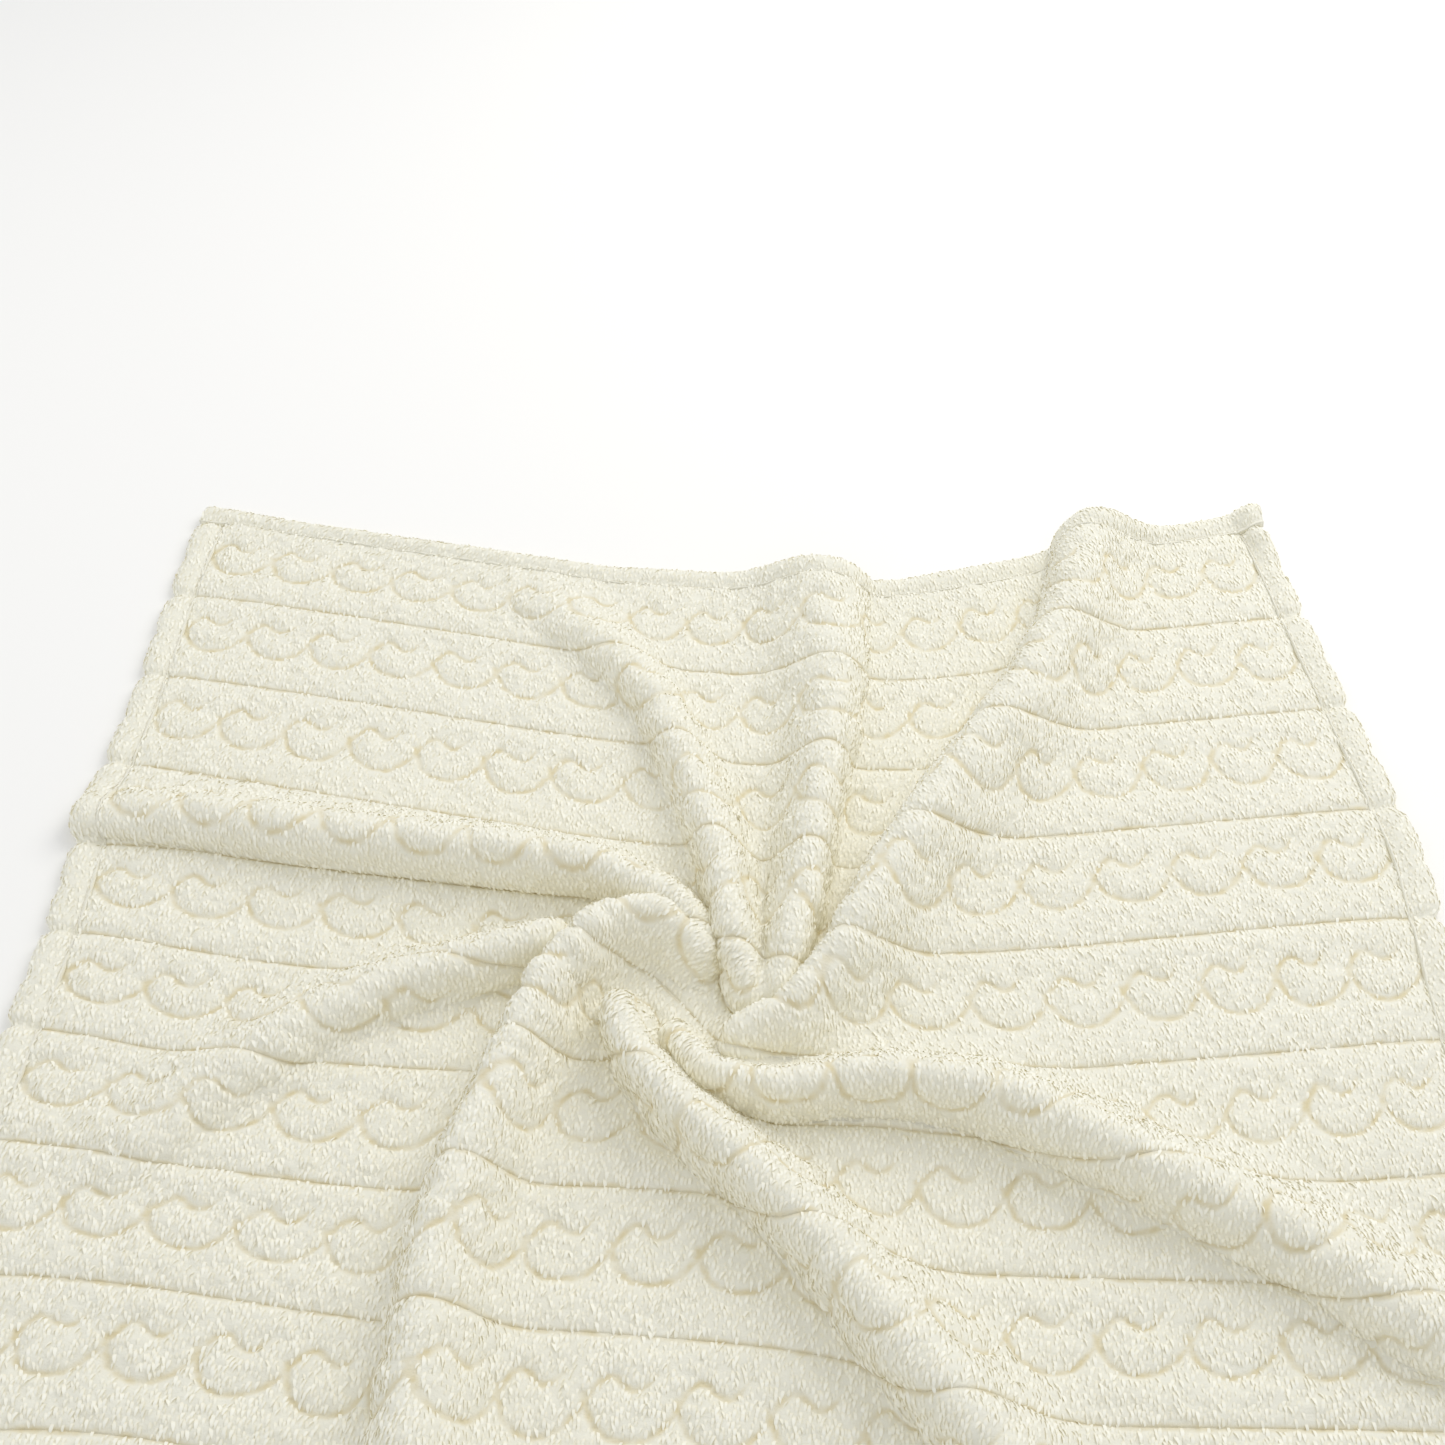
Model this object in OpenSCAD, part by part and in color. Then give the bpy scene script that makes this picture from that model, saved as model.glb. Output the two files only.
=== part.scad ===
// A pile throw, spread out flat, with its middle pinched and turned into a swirl of folds.
// Origin: on the floor, under the middle of the throw. +Y is the far end, +X is the right side.

/* [Throw] */
// Width of the throw as it lies, side hem to side hem
lie_w = 1250; // [1000:10:1600]
// Length of the throw as it lies, corner to corner
lie_l = 1460; // [1200:10:1800]
// Share of its width that the folds take up at the far end
end_narrow = 0.07; // [0:0.01:0.12]
// How far the swirl draws in the middle of the far end
far_dip = 110; // [0:5:160]
// How far the swirl draws in the middle of the near end
near_dip = 40; // [0:5:160]

/* [Cloth] */
// Depth of the short pile on the underside
back_t = 3; // [1:0.5:6]
// Thickness of the knitted ground
ground_t = 1; // [0.5:0.1:2]
// Depth of the carved pile on the face
face_t = 5; // [3:0.5:9]

/* [Hems] */
// Width of the turned hems
hem_w = 28; // [18:1:45]
// How far a hem's roll stands above the face pile
hem_puff = 4; // [1:0.5:8]
// Width of the furrow that the stitching pulls down along a hem
furrow_w = 6; // [5:0.5:9]
// Thickness of the sewing thread
thread_d = 0.7; // [0.3:0.1:0.9]

/* [Folds] */
// Middle of the swirl, across the throw from its centre line
swirl_x = -45; // [-150:5:150]
// Middle of the swirl, along the throw from its centre
swirl_y = 80; // [-150:5:150]
// Height of the folds, as a share of the modelled ones
fold_height = 1; // [0.2:0.1:1.2]
// Width of the folds, as a share of the modelled ones
fold_width = 1; // [0.8:0.1:1.4]

/* [Care label] */
// Width of the blank care label
label_w = 30; // [15:1:60]
// Length of the label outside the hem
label_l = 38; // [15:1:50]
// Thickness of the label's satin tape, folded double
label_t = 0.8; // [0.4:0.1:1.5]

/* [Hidden] */

half_w = lie_w / 2;
half_l = lie_l / 2;
cloth_t = back_t + ground_t + face_t;
columns = 36; // cells across the panel
rows = 38; // cells along the panel
crowd = 0.35; // how much closer the cells stand at the swirl than at the edges
straight_part = 0.2; // share of the half length over which the sides stay straight
blend_power = 4; // how sharply two folds that meet keep to the higher one
recess_t = 1.4; // hollow under a hem's seam, where the bobbin thread lies
thread_gap = 0.15; // clearance between a thread and the cloth under or over it
label_gap = 1.2; // clearance between the label and the hem's edge
label_z = 1; // height of the label's underside above the floor

// The folds: for each, the points along its crest as [x, y, height, half width], in millimetres
// from the middle of the swirl, on a throw that lies 1250 wide and 1460 long.
FOLDS = [
    // far left
    [[-205, 530, 0, 40], [-140, 475, 14, 34], [-85, 415, 26, 28], [-35, 340, 34, 25],
     [5, 225, 42, 24], [30, 130, 50, 23], [40, 55, 52, 20], [50, 0, 36, 17]],
    // far middle
    [[145, 545, 32, 34], [140, 395, 40, 30], [130, 315, 44, 28], [110, 215, 48, 26],
     [95, 120, 52, 23], [80, 45, 54, 19], [70, 0, 38, 17]],
    // far right
    [[445, 620, 42, 38], [415, 550, 46, 36], [385, 445, 52, 36], [320, 320, 56, 36],
     [240, 205, 60, 34], [170, 90, 62, 30], [135, 25, 58, 25], [90, -25, 46, 20], [40, -45, 34, 16]],
    // right
    [[665, -350, 24, 36], [540, -280, 38, 38], [465, -220, 46, 36], [385, -175, 52, 32],
     [300, -125, 56, 30], [230, -92, 56, 28], [150, -80, 54, 24], [70, -92, 48, 19],
     [15, -75, 42, 15], [-10, -40, 36, 14]],
    // near right
    [[390, -790, 20, 44], [365, -670, 26, 42], [295, -510, 40, 40], [225, -380, 48, 36], [190, -330, 52, 34],
     [150, -280, 54, 32], [110, -225, 56, 29], [60, -170, 58, 26], [0, -115, 60, 22],
     [-40, -65, 60, 18], [-55, -15, 52, 16]],
    // near left
    [[-160, -790, 20, 46], [-170, -670, 26, 44], [-180, -510, 40, 40], [-180, -380, 50, 36], [-180, -315, 54, 34],
     [-177, -240, 58, 33], [-163, -160, 60, 31], [-137, -75, 62, 28], [-110, 5, 64, 25],
     [-70, 55, 62, 22], [-30, 65, 56, 19], [5, 35, 44, 16]],
    // left, low
    [[-495, -160, 0, 40], [-430, -125, 14, 36], [-385, -80, 24, 34], [-320, -25, 32, 30],
     [-240, 15, 38, 27], [-170, 36, 44, 24], [-120, 54, 50, 20]],
    // left, high
    [[-575, 202, 30, 28], [-445, 195, 38, 28], [-355, 177, 42, 28], [-260, 162, 46, 27],
     [-170, 148, 50, 25], [-80, 130, 54, 22], [-15, 95, 52, 18], [15, 55, 40, 16]]
];

function clamped(v) = max(0, min(1, v));

// Height that one stretch of a fold gives the cloth at p
function stretch_z(p, a, b) =
    let (
        scale_x = lie_w / 1250,
        scale_y = lie_l / 1460,
        from = [swirl_x + a.x * scale_x, swirl_y + a.y * scale_y],
        along = [swirl_x + b.x * scale_x, swirl_y + b.y * scale_y] - from,
        k = clamped((p - from) * along / (along * along)),
        off = norm(p - from - along * k) / (fold_width * (a[3] + (b[3] - a[3]) * k))
    )
    (a[2] + (b[2] - a[2]) * k) * exp(-off * off);

function one_fold_z(p, fold) = max([for (i = [1 : len(fold) - 1]) stretch_z(p, fold[i - 1], fold[i])]);

// Height of the cloth's underside above the floor at p
function cloth_z(p) =
    fold_height * pow(max(0.000001, [for (fold = FOLDS) pow(one_fold_z(p, fold), blend_power)]
        * [for (fold = FOLDS) 1]), 1 / blend_power);

// How far the far half has begun to narrow at b along the length: 0 up to the middle, 1 at the far end
function to_far_end(b) = pow(clamped((b / half_l - straight_part) / (1 - straight_part)), 2);

// A point of the lying cloth: a across it, b along it, d above its underside. Floor-flat cloth is 0 high.
function cloth_point(a, b, d) =
    let (
        x = a * (1 - end_narrow * to_far_end(b)),
        q = a / half_w,
        dip = b > 0 ? far_dip : -near_dip,
        y = b - dip * (1 - q * q) * pow(b / half_l, 2),
        z = cloth_z([x, y])
    )
    [x, y, (z < 0.5 ? 0 : z) + d];

// Evenly counted places from -size to size that crowd together in the middle
function places(size, count) = [
    for (i = [0 : count])
        let (u = 2 * i / count - 1)
        size * (u * (1 - crowd) + crowd * pow(u, 3))
];

ACROSS = places(half_w - hem_w, columns);
ALONG = places(half_l - hem_w, rows);

// A layer of the panel between two heights above the underside
module layer(low, high) {
    wide = len(ACROSS);
    long = len(ALONG);
    count = wide * long;
    points = [
        for (d = [low, high])
            for (b = ALONG)
                for (a = ACROSS)
                    cloth_point(a, b, d)
    ];
    rim = concat(
        [for (i = [0 : wide - 1]) i],
        [for (j = [1 : long - 1]) j * wide + wide - 1],
        [for (i = [wide - 2 : -1 : 0]) (long - 1) * wide + i],
        [for (j = [long - 2 : -1 : 1]) j * wide]
    );
    faces = concat(
        [for (j = [0 : long - 2], i = [0 : wide - 2])
            let (k = j * wide + i)
            each [[k, k + 1, k + wide + 1], [k, k + wide + 1, k + wide]]],
        [for (j = [0 : long - 2], i = [0 : wide - 2])
            let (k = count + j * wide + i)
            each [[k, k + wide + 1, k + 1], [k, k + wide, k + wide + 1]]],
        [for (i = [0 : len(rim) - 1])
            let (k = rim[i], m = rim[(i + 1) % len(rim)])
            each [[k, k + count, m], [m, k + count, m + count]]]
    );
    polyhedron(points, faces);
}

// Something that runs along an edge: section is [outward, up] points, anticlockwise when the
// run goes away from the viewer and outward is to the right. side is "far", "near", "left" or "right".
module along_edge(side, section) {
    ends = side == "far" || side == "near";
    outward = side == "far" || side == "right" ? 1 : -1;
    // an end hem runs on through the corners
    run = ends ? concat([-half_w], ACROSS, [half_w]) : ALONG;
    inner = outward * ((ends ? half_l : half_w) - hem_w);
    size = len(section);
    last = (len(run) - 1) * size;
    points = [
        for (r = run)
            for (s = section)
                let (edge = inner + outward * s.x)
                ends ? cloth_point(r, edge, s.y) : cloth_point(edge, r, s.y)
    ];
    walls = [
        for (i = [0 : len(run) - 2])
            for (k = [0 : size - 1])
                let (p = i * size + k, q = i * size + (k + 1) % size)
                each [[p, q, q + size], [p, q + size, p + size]]
    ];
    caps = [
        for (k = [1 : size - 2])
            each [[0, k + 1, k], [last, last + k, last + k + 1]]
    ];
    turned = (side == "near" || side == "right") ? [for (f = concat(walls, caps)) [f.z, f.y, f.x]]
        : concat(walls, caps);
    polyhedron(points, turned);
}

// The first point sees all the others, so the ends close as a fan.
HEM_SECTION = [
    [hem_w - 4, 0],
    [hem_w, 4],
    [hem_w, cloth_t - 1],
    [hem_w * 0.8, cloth_t + hem_puff - 1],
    [hem_w * 0.5, cloth_t + hem_puff],
    [furrow_w + 3, cloth_t + hem_puff - 1],
    [furrow_w, cloth_t],
    [0, cloth_t],
    [0, recess_t],
    [furrow_w - 1, recess_t - 0.4],
    [furrow_w - 0.5, 0]
];

function thread_section(low) = let (mid = furrow_w / 2 - 0.5, r = thread_d / 2)
    [[mid + r, low], [mid + r, low + thread_d], [mid - r, low + thread_d], [mid - r, low]];

module hem(side) { color("#f3f0e4") along_edge(side, HEM_SECTION); }

module needle_thread(side) { color("#efe9d8") along_edge(side, thread_section(cloth_t + thread_gap)); }

module bobbin_thread(side) {
    color("#efe9d8") along_edge(side, thread_section(recess_t - 0.4 - thread_gap - thread_d));
}

module back_pile() { color("#f2eee0") layer(0, back_t); }

module knit_ground() { color("#e6dcc0") layer(back_t, back_t + ground_t); }

module face_pile() { color("#f4f2e8") layer(back_t + ground_t, cloth_t); }

// A blank satin tape that the near hem holds at its middle; it swings up about its sewn edge.
module care_label() {
    edge = cloth_point(0, -half_l, 0).y - label_gap;
    color("white") translate([-label_w / 2, edge - label_l, label_z]) cube([label_w, label_l, label_t]);
}

back_pile();
knit_ground();
face_pile();
hem("far");  // far_hem
hem("near");  // near_hem
hem("left");  // left_hem
hem("right");  // right_hem
needle_thread("far");  // far_needle_thread
needle_thread("near");  // near_needle_thread
needle_thread("left");  // left_needle_thread
needle_thread("right");  // right_needle_thread
bobbin_thread("far");  // far_bobbin_thread
bobbin_thread("near");  // near_bobbin_thread
bobbin_thread("left");  // left_bobbin_thread
bobbin_thread("right");  // right_bobbin_thread
care_label();
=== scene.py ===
import math

import bpy
import numpy as np
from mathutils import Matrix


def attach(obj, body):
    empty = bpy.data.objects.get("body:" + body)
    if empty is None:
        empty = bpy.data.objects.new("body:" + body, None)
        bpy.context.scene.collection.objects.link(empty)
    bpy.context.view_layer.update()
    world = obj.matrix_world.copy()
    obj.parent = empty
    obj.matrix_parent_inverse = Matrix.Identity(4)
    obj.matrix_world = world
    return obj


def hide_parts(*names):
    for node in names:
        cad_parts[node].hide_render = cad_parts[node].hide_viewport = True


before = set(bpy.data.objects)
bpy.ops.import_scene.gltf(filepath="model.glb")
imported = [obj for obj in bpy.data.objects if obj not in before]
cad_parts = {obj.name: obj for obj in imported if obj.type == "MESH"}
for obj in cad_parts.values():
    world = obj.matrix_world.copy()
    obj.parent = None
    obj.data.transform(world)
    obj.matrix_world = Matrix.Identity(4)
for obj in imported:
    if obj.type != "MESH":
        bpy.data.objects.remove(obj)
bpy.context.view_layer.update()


# ---------------------------------------------------------------- the room and the camera
# The throw lies on a seamless white studio floor. One big soft light hangs behind it, a weaker
# one stands on the left, and the white room fills in the rest.

def linear(hex_colour):
    """A colour such as "f4f2e8", read as sRGB, as linear red, green, blue and alpha."""
    parts = [int(hex_colour[i:i + 2], 16) / 255 for i in (0, 2, 4)]
    return [c / 12.92 if c <= 0.04045 else ((c + 0.055) / 1.055) ** 2.4 for c in parts] + [1.0]


def node(tree, kind, settings=None, **inputs):
    """Adds a node with its settings and its inputs, which are values or other nodes' outputs."""
    made = tree.nodes.new(kind)
    for name, value in (settings or {}).items():
        setattr(made, name, value)
    for name, value in inputs.items():
        key = int(name[1:]) if name[0] == "i" and name[1:].isdigit() else name.replace("_", " ")
        if isinstance(value, bpy.types.NodeSocket):
            tree.links.new(value, made.inputs[key])
        else:
            made.inputs[key].default_value = value
    return made


def new_material(name):
    """An empty material and its tree, with an output node."""
    made = bpy.data.materials.new(name)
    made.use_nodes = True
    made.node_tree.nodes.clear()
    return made, made.node_tree, node(made.node_tree, "ShaderNodeOutputMaterial")


def new_piece(name, points, faces, material, uv=None, smooth=True):
    """A mesh object from its points, its faces and each point's place on the flat cloth."""
    mesh = bpy.data.meshes.new(name)
    points = np.asarray(points, np.float32)
    mesh.vertices.add(len(points))
    mesh.vertices.foreach_set("co", points.ravel())
    if len(faces):
        sizes = np.array([len(f) for f in faces])
        corners = np.concatenate([np.asarray(f) for f in faces]).astype(np.int32)
        mesh.loops.add(len(corners))
        mesh.loops.foreach_set("vertex_index", corners)
        mesh.polygons.add(len(sizes))
        mesh.polygons.foreach_set("loop_start", (np.cumsum(sizes) - sizes).astype(np.int32))
        mesh.polygons.foreach_set("loop_total", sizes.astype(np.int32))
        mesh.polygons.foreach_set("use_smooth", np.full(len(sizes), smooth))
        if uv is not None:
            layer = mesh.uv_layers.new(name="Cloth")
            layer.data.foreach_set("uv", np.asarray(uv, np.float32)[corners].ravel())
    mesh.materials.append(material)
    mesh.update(calc_edges=True)
    mesh.validate()
    made = bpy.data.objects.new(name, mesh)
    bpy.context.scene.collection.objects.link(made)
    return made


camera = bpy.data.objects.new("camera", bpy.data.cameras.new("camera"))
bpy.context.scene.collection.objects.link(camera)
camera.location = (-0.0185, -0.712, 1.2013)
camera.rotation_euler = (math.radians(43), 0, 0)
camera.data.sensor_width = 36
camera.data.lens = 41.88
bpy.context.scene.camera = camera

floor_size = 14.0
floor_paint, tree, output = new_material("white studio floor")
floor_shader = node(tree, "ShaderNodeBsdfPrincipled", Base_Color=linear("fffdf8"), Roughness=0.9)
tree.links.new(floor_shader.outputs[0], output.inputs[0])
corner = floor_size / 2
floor = new_piece(
    "studio_floor",
    [(-corner, -corner, 0), (corner, -corner, 0), (corner, corner, 0), (-corner, corner, 0)],
    np.array([[0, 1, 2, 3]]), floor_paint, smooth=False)


def soft_light(name, place, aim, size, watts, colour):
    """A square area light at place that faces aim."""
    lamp = bpy.data.lights.new(name, "AREA")
    lamp.shape = "SQUARE"
    lamp.size = size
    lamp.energy = watts
    lamp.color = linear(colour)[:3]
    made = bpy.data.objects.new(name, lamp)
    bpy.context.scene.collection.objects.link(made)
    made.location = place
    way = np.array(aim) - np.array(place)
    made.rotation_euler = (math.atan2(math.hypot(way[0], way[1]), -way[2]), 0,
                           math.atan2(-way[0], way[1]))
    return made


soft_light("top_softbox", (1.6, 2.0, 2.2), (0, 0, 0), 2.0, 46, "fffdfb")
soft_light("side_softbox", (-2.2, 0.6, 1.8), (0, 0, 0), 1.8, 6, "ffffff")
world = bpy.data.worlds.new("white room")
bpy.context.scene.world = world
world.use_nodes = True
world.node_tree.nodes["Background"].inputs[0].default_value = linear("f7faff")
world.node_tree.nodes["Background"].inputs[1].default_value = 0.70
bpy.context.scene.view_settings.view_transform = "Standard"


# ---------------------------------------------------------------- the face pile
# Long microfibre pile on the face of a knitted fleece, carved into rows of cables. A straight
# furrow parts the rows; each band of pile between two furrows is one piece. The whole cloth is
# laid here first, because every other piece lies on it.

cut_w = 1.270
cut_l = 1.520
hem_w = 0.028
row_count = 12
cell_count = 19
row_pitch = (cut_l - 2 * hem_w) / row_count
cell_pitch = (cut_w - 2 * hem_w) / cell_count
back_t = 0.003
ground_t = 0.001
pile_t = 0.0055

# The folds of the swirl. Each is how far it leans, positive to the right of a walk towards the
# middle, and the points along its crest: x, y, height and half width, in millimetres from the
# middle of the swirl.
swirl = (-45, 80)
folds = [
    (0.5, [(-205, 530, 0, 40), (-140, 475, 14, 34), (-85, 415, 26, 28), (-35, 340, 34, 25),
           (5, 225, 42, 24), (30, 130, 50, 22), (40, 55, 52, 19), (50, 0, 36, 15)]),
    (-0.6, [(125, 545, 34, 58), (128, 395, 40, 44), (125, 315, 44, 34), (110, 215, 48, 25),
            (95, 120, 52, 22), (80, 45, 54, 18), (70, 0, 38, 15)]),
    (0.7, [(445, 620, 42, 38), (415, 550, 46, 36), (385, 445, 52, 36), (320, 320, 56, 35),
           (240, 205, 60, 33), (170, 90, 62, 29), (135, 25, 58, 24), (90, -25, 46, 19),
           (40, -45, 34, 15)]),
    (-0.8, [(665, -350, 24, 36), (540, -280, 38, 36), (465, -220, 46, 34), (385, -175, 52, 32),
            (300, -125, 56, 29), (230, -92, 56, 27), (150, -80, 54, 23), (70, -92, 48, 18),
            (15, -75, 42, 14), (-10, -40, 36, 13)]),
    (-0.8, [(390, -790, 20, 44), (365, -670, 26, 42), (295, -510, 40, 40), (225, -380, 48, 36),
            (190, -330, 52, 34), (150, -280, 54, 32), (110, -225, 56, 28), (60, -170, 58, 25),
            (0, -115, 60, 21), (-40, -65, 60, 17), (-55, -15, 52, 15)]),
    (-0.5, [(-160, -790, 20, 46), (-170, -670, 26, 44), (-180, -510, 40, 40), (-180, -380, 50, 36),
            (-180, -315, 54, 34), (-177, -240, 58, 32), (-163, -160, 60, 28), (-137, -75, 62, 23),
            (-110, 5, 64, 19), (-70, 55, 62, 18), (-30, 65, 56, 17), (5, 35, 44, 15)]),
    (0.6, [(-495, -160, 0, 40), (-430, -125, 14, 36), (-385, -80, 24, 34), (-320, -25, 32, 30),
           (-240, 15, 38, 27), (-170, 36, 44, 23), (-120, 54, 50, 19)]),
    (0.9, [(-585, 204, 8, 22), (-520, 202, 24, 27), (-445, 195, 34, 29), (-355, 177, 42, 30), (-260, 162, 46, 28),
           (-170, 148, 50, 26), (-80, 130, 54, 22), (-15, 95, 52, 17), (15, 55, 40, 15)]),
    (0.2, [(600, 640, 14, 20), (612, 600, 15, 20), (618, 560, 4, 16)]),
]

# Where furrows lie away from the folds: the furrow's number from the far end and points on it.
laid_rows = [
    (1, [(-580, 590), (-460, 570), (-205, 515)]), (2, [(-575, 470), (-435, 445), (-135, 385)]),
    (3, [(-580, 345), (-415, 310), (-110, 245)]), (5, [(-580, 160), (-405, 105)]),
    (6, [(-615, 70), (-530, 40), (-230, 5)]), (7, [(-590, -40), (-385, -85), (-245, -100)]),
    (8, [(-560, -155), (-255, -195)]), (9, [(-530, -250), (-325, -280)]),
    (1, [(380, 535), (535, 550)]), (2, [(305, 385), (530, 415)]), (3, [(235, 255), (540, 285)]),
    (4, [(140, 115), (570, 175)]), (5, [(215, 10), (540, 35)]), (6, [(425, -90), (540, -85)]),
    (7, [(115, -160), (370, -170)]), (8, [(175, -270), (485, -275)]),
    (7, [(-160, -90), (-5, -100)]), (8, [(-190, -195), (35, -215)]),
]
# Where the four edges lie, as points (x, y).
left_edge = [(-625, -730), (-624, -200), (-622, -10), (-612, 155), (-612, 265), (-618, 295),
             (-610, 335), (-600, 430), (-597, 570), (-592, 740)]
right_edge = [(600, -750), (600, -250), (602, 50), (615, 185), (620, 245), (612, 300), (605, 360),
              (595, 445), (580, 570), (565, 715)]
far_edge = [(-590, 730), (-480, 695), (-365, 670), (-255, 647), (-150, 626), (-40, 618), (60, 610),
            (120, 600), (170, 606), (220, 620), (300, 642), (340, 655), (390, 670), (445, 685),
            (500, 700), (550, 718)]
near_edge = [(-625, -722), (-400, -704), (-150, -693), (100, -693), (350, -708), (600, -732)]

# The crests' half widths are those of the pile's outside; the cloth under it is this much narrower.
crest_less = 0.006

map_step = 0.0025
map_x = np.arange(-0.72, 0.7201, map_step)
map_y = np.arange(-0.80, 0.8001, map_step)


def fold_map():
    """Height of the cloth's underside, and its lean along x and y, over a fine grid of the floor."""
    x, y = np.meshgrid(map_x, map_y, indexing="ij")
    total, lean_x, lean_y = np.zeros_like(x), np.zeros_like(x), np.zeros_like(x)
    for lean, crest in folds:
        best, way_x, way_y = np.zeros_like(x), np.zeros_like(x), np.zeros_like(x)
        points = (np.array(crest, float) + [swirl[0], swirl[1], 0, 0]) / 1000
        for a, b in zip(points[:-1], points[1:]):
            run = b[:2] - a[:2]
            along = np.clip(((x - a[0]) * run[0] + (y - a[1]) * run[1]) / (run @ run), 0, 1)
            off_x, off_y = x - a[0] - along * run[0], y - a[1] - along * run[1]
            to_left = run[0] * off_y - run[1] * off_x > 0
            off = np.hypot(off_x, off_y)
            height = a[2] + (b[2] - a[2]) * along
            width = a[3] + (b[3] - a[3]) * along - crest_less
            gentle = np.exp(-(off / (width * (1 + 0.25 * abs(lean)))) ** 2)
            rolled = np.sqrt(np.maximum(0, 1 - (off / (0.95 * width)) ** 2))
            steep = (1 - abs(lean)) * np.exp(-(off / width) ** 2) + abs(lean) * rolled
            z = height * np.where(to_left == (lean < 0), steep, gentle)
            higher = z > best
            best = np.where(higher, z, best)
            size = lean / math.hypot(*run)
            way_x, way_y = np.where(higher, run[1] * size, way_x), np.where(higher, -run[0] * size, way_y)
        total += best ** 4
        lean_x += best ** 4 * way_x
        lean_y += best ** 4 * way_y
    share = total + 1e-12
    return [softened(m, 1.2) for m in (total ** 0.25, lean_x / share, lean_y / share)]


def softened(grid, spread):
    """The grid blurred by a Gaussian that many cells wide."""
    reach = int(3 * spread + 1)
    kernel = np.exp(-0.5 * (np.arange(-reach, reach + 1) / spread) ** 2)
    kernel /= kernel.sum()
    for axis in (0, 1):
        pad = [(0, 0), (0, 0)]
        pad[axis] = (reach, reach)
        wide = np.pad(grid, pad, mode="edge")
        size = grid.shape[axis]
        grid = sum(k * np.take(wide, range(i, i + size), axis) for i, k in enumerate(kernel))
    return grid


def looked_up(grid, x, y):
    """The grid's value at points of the floor."""
    i = np.clip((x - map_x[0]) / map_step, 0, len(map_x) - 1.001)
    j = np.clip((y - map_y[0]) / map_step, 0, len(map_y) - 1.001)
    i0, j0 = i.astype(int), j.astype(int)
    a, b = i - i0, j - j0
    return (grid[i0, j0] * (1 - a) * (1 - b) + grid[i0 + 1, j0] * a * (1 - b)
            + grid[i0, j0 + 1] * (1 - a) * b + grid[i0 + 1, j0 + 1] * a * b)


height_map, lean_x_map, lean_y_map = fold_map()
slope_x_map, slope_y_map = np.gradient(height_map, map_step)


def first_lay(u, v):
    """A rough place on the floor for each point of the cut cloth: u across it, v from its far end."""
    centre_v, centre_y, lie_half_w, far_y, near_y = 0.615, 0.08, 0.625, 0.73, -0.73
    beyond = np.maximum(0, centre_v - v) / centre_v
    before = np.maximum(0, v - centre_v) / (cut_l - centre_v)
    y = centre_y + beyond * (far_y - centre_y) + before * (near_y - centre_y)
    x = (2 * u / cut_w - 1) * lie_half_w * (1 - 0.07 * np.clip(y / far_y, 0, 1) ** 2)
    q = x / lie_half_w
    return np.stack([x, y - np.where(y > 0, 0.11, -0.03) * (1 - q * q) * (y / far_y) ** 2], -1)


def pulls(step_u, step_v, columns, rows):
    """The furrows' laid places, as (row before, share to the next, x, y)."""
    found = []
    for number, points in laid_rows:
        at = (hem_w + number * row_pitch) / step_v
        before = int(min(at, rows - 2))
        p = np.array(points, float) / 1000
        x = np.arange(p[:, 0].min(), p[:, 0].max() + 1e-6, max(step_u, 0.03))
        spread = int(0.015 / step_v)
        found.append((before, at - before, x, np.interp(x, p[:, 0], p[:, 1]), spread))
    return found


def untangled(place, cell_area):
    """Eases apart the places where the cloth has slid over itself."""
    across, along = place[1:] - place[:-1], place[:, 1:] - place[:, :-1]
    area = -(across[:, :-1, 0] * along[:-1, :, 1] - across[:, :-1, 1] * along[:-1, :, 0])
    crossed = np.zeros(place.shape[:2])
    for i in (slice(0, -1), slice(1, None)):
        for j in (slice(0, -1), slice(1, None)):
            crossed[i, j] = np.maximum(crossed[i, j], area < 0.03 * cell_area)
    share = np.clip(4 * softened(crossed, 1.0), 0, 1)[..., None]
    for turn in range(6):
        wide = np.pad(place, ((1, 1), (1, 1), (0, 0)), mode="reflect", reflect_type="odd")
        level = (wide[:-2, 1:-1] + wide[2:, 1:-1] + wide[1:-1, :-2] + wide[1:-1, 2:]) / 4
        place = place + share * 0.6 * (level - place)
    return place


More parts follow.
